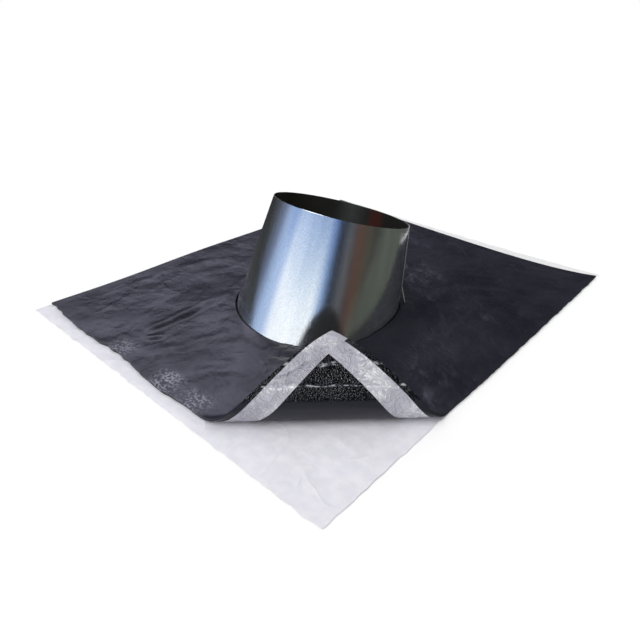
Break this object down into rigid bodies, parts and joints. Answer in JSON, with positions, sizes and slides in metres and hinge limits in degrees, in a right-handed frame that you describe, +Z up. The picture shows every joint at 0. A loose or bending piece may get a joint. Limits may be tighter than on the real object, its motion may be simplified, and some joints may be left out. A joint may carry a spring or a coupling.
{
  "type": "pipe flashing boot",
  "caption": "Leaning sheet-metal pipe collar on a soft self-adhesive roof apron, one corner rolled back to show its taped butyl underside, on its release film.",
  "frame": {"origin": "Middle of the release film's underside, which is also the middle of the apron; it lies in the pipe's way, on the plane of the roof.", "axes": "+Z up off the roof, +Y up the slope, the way in which the collar leans, and +X across the slope, towards the side of the rolled-back corner."},
  "size_m": [0.4461, 0.587, 0.1365],
  "materials": {
    "sheet_metal": "bare zinc-coated sheet with a fine grain down the cone",
    "carrier": "satin charcoal, softly wrinkled",
    "butyl": "glossy black, tacky, finely pitted",
    "tape": "light grey film tape, wrinkled, satin",
    "film": "milky translucent film, lightly creased"
  },
  "bodies": {
    "root": {"collar": "sheet_metal", "apron": "carrier", "butyl_backing": "butyl", "front_tape": "tape", "right_tape": "tape", "rear_tape": "tape", "left_tape": "tape", "release_film": "film"}
  },
  "joints": []
}
